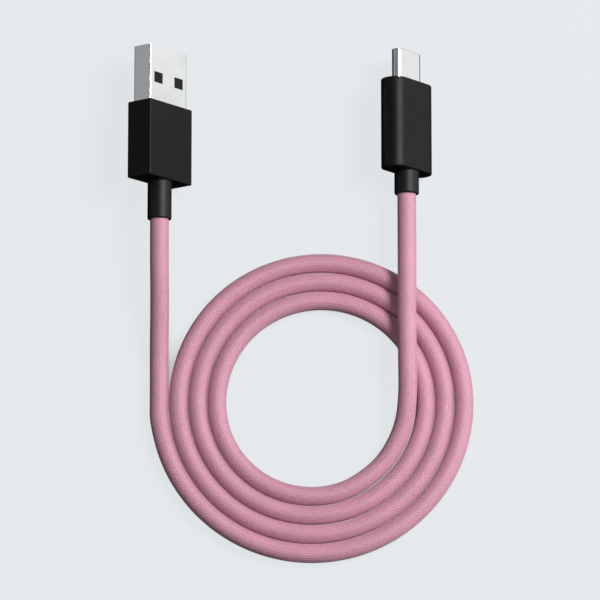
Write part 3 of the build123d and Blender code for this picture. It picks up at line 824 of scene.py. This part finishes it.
def board_material():
    """Green solder mask over woven glass: the weave is the product of two crossed sines."""
    material, tree, shader = new_material("green_board", Roughness=0.3)
    place = about_plug(tree, surface_place(tree), "device_plug_board")
    local = add_node(tree, "SeparateXYZ", {0: place})
    waves = []
    for axis in (0, 1):
        turns = calc(tree, "MULTIPLY", local.outputs[axis], 2 * pi / WEAVE_PITCH)
        waves.append(calc(tree, "SINE", turns))
    weave = scaled(tree, calc(tree, "MULTIPLY", *waves), 0.5, 0.5)
    tree.links.new(blend_colours(tree, weave, MASK_GREEN, MASK_PALE), shader.inputs["Base Color"])
    add_bump(tree, shader, weave, WEAVE_BUMP, WEAVE_DEPTH)
    return material


def chip_material():
    """A chip resistor's black glaze, with tinned metal past a short way from its middle."""
    material, tree, shader = new_material("chip_resistor")
    place = surface_place(tree)
    about_middle = about_plug(tree, place, "device_plug_pull_up_resistor")
    local = add_node(tree, "SeparateXYZ", {0: about_middle})
    from_middle = calc(tree, "ABSOLUTE", local.outputs[0])
    tinned = calc(tree, "GREATER_THAN", from_middle, CHIP_END)
    cloud = use_group(tree, CLOUDINESS, {"Place": place, "Size": CHIP_CLOUD})[0]
    colour = blend_colours(tree, tinned, CHIP_BLACK, TINNED_SHEET)
    tree.links.new(colour, shader.inputs["Base Color"])
    tree.links.new(tinned, shader.inputs["Metallic"])
    glossiest, spread = CHIP_ROUGHNESS
    tree.links.new(scaled(tree, cloud, spread, glossiest), shader.inputs["Roughness"])
    return material


dress("device_plug_board", board_material())
dress("device_plug_pull_up_resistor", chip_material())


# ---- Floor, light and camera -------------------------------------------------------------------
# A pale table top under a softbox, high on the right, with a low bright panel beside it and a weak
# low panel on the left. The camera looks down on the coil, a little from the front.
FLOOR_HALF = 1.5
FLOOR_GREY = (0.05, 0.052, 0.054, 1)
FLOOR_GLOW = (0.73, 0.76, 0.782, 1)
COVER_REACH = 0.005  # how far above the floor a piece can cover it
OPEN_RANGE = (0.15, 0.45)  # shares of open sky over which the painted shade fades to full glow
PAINTED_SHADE_GLOW = 0.5  # painted shade: the glow's strength where the object covers the floor
LIGHT_CENTRE = Vector((0, 0.02, 0.004))  # from the coil's centre
LIGHTS = (
    # name, place from the lights' centre, width and height, power
    ("key_softbox", (0.42, 0.14, 0.63), (0.26, 0.26), 5.9),
    ("right_panel", (0.70, 0.0, 0.0), (1.4, 0.8), 3.3),
    ("left_panel", (-0.70, 0.0, 0.20), (1.2, 0.3), 0.27),
)
ROOM_LOW = (0.012, 0.012, 0.013, 1)
ROOM_HIGH = (0.20, 0.205, 0.21, 1)
ROOM_BLEND = 0.35  # how far above and below the horizon the room's two greys are blended
ELEVATION = radians(77.9)
LENS = 300
SENSOR = 36
FRAME_WIDTH = 0.1253
TARGET = Vector((-0.0024, 0.02188, 0.00195))  # from the coil's centre
CLIP_START = 0.05
CLIP_END = 20


def area_light(name, place, aim, size, power):
    """A rectangular softbox at a place, turned to face its aim; size is its width and height."""
    data = bpy.data.lights.new(name, "AREA")
    data.shape = "RECTANGLE"
    data.size, data.size_y = size
    data.energy = power
    lamp = bpy.data.objects.new(name, data)
    lamp.location = place
    lamp.rotation_mode = "QUATERNION"
    lamp.rotation_quaternion = (Vector(aim) - Vector(place)).to_track_quat("-Z", "Y")
    lamp.visible_camera = False
    bpy.context.collection.objects.link(lamp)


def floor():
    """The table top under the yarns' crests: seen, but it neither lights the object nor reflects.

    Painted shade halves its glow where the object covers it on every side, as between two strands.
    """
    edges = ((-1, -1), (1, -1), (1, 1), (-1, 1))
    corners = [(x * FLOOR_HALF, y * FLOOR_HALF, -BRAID_RELIEF) for x, y in edges]
    piece = new_piece("floor", corners, [(0, 1, 2, 3)])
    material, tree, shader = new_material("table_top", Roughness=0.9, Specular_IOR_Level=0.1)
    shader.inputs["Base Color"].default_value = FLOOR_GREY
    shader.inputs["Emission Color"].default_value = FLOOR_GLOW
    # painted shade: the floor's glow darkens where the object covers it, as in the gaps between
    # strands
    open_sky = add_node(tree, "AmbientOcclusion", {"Distance": COVER_REACH}, samples=8)
    glow = ranged(tree, open_sky.outputs["AO"], *OPEN_RANGE, start=PAINTED_SHADE_GLOW)
    tree.links.new(glow, shader.inputs["Emission Strength"])
    piece.data.materials.append(material)
    piece.visible_diffuse = False
    piece.visible_glossy = False
    piece.visible_shadow = False
    return piece


floor()
centre = coil_centre + LIGHT_CENTRE
for name, place, size, power in LIGHTS:
    area_light(name, centre + Vector(place), centre, size, power)

world = bpy.data.worlds.new("studio")
world.use_nodes = True
sky = world.node_tree
direction = add_node(sky, "TexCoord", {}).outputs["Generated"]
height = add_node(sky, "SeparateXYZ", {0: direction}).outputs[2]
room = blend_colours(sky, ranged(sky, height, -ROOM_BLEND, ROOM_BLEND), ROOM_LOW, ROOM_HIGH)
sky.links.new(room, sky.nodes["Background"].inputs["Color"])
bpy.context.scene.world = world

camera_data = bpy.data.cameras.new("camera")
camera_data.lens = LENS
camera_data.sensor_width = SENSOR
camera = bpy.data.objects.new("camera", camera_data)
bpy.context.collection.objects.link(camera)
back = Vector((0, -cos(ELEVATION), sin(ELEVATION)))
camera.location = coil_centre + TARGET + back * (FRAME_WIDTH * LENS / SENSOR)
camera.rotation_mode = "QUATERNION"
camera.rotation_quaternion = (-back).to_track_quat("-Z", "Y")
camera_data.clip_start = CLIP_START
camera_data.clip_end = CLIP_END
bpy.context.scene.camera = camera
bpy.context.scene.view_settings.view_transform = "Standard"
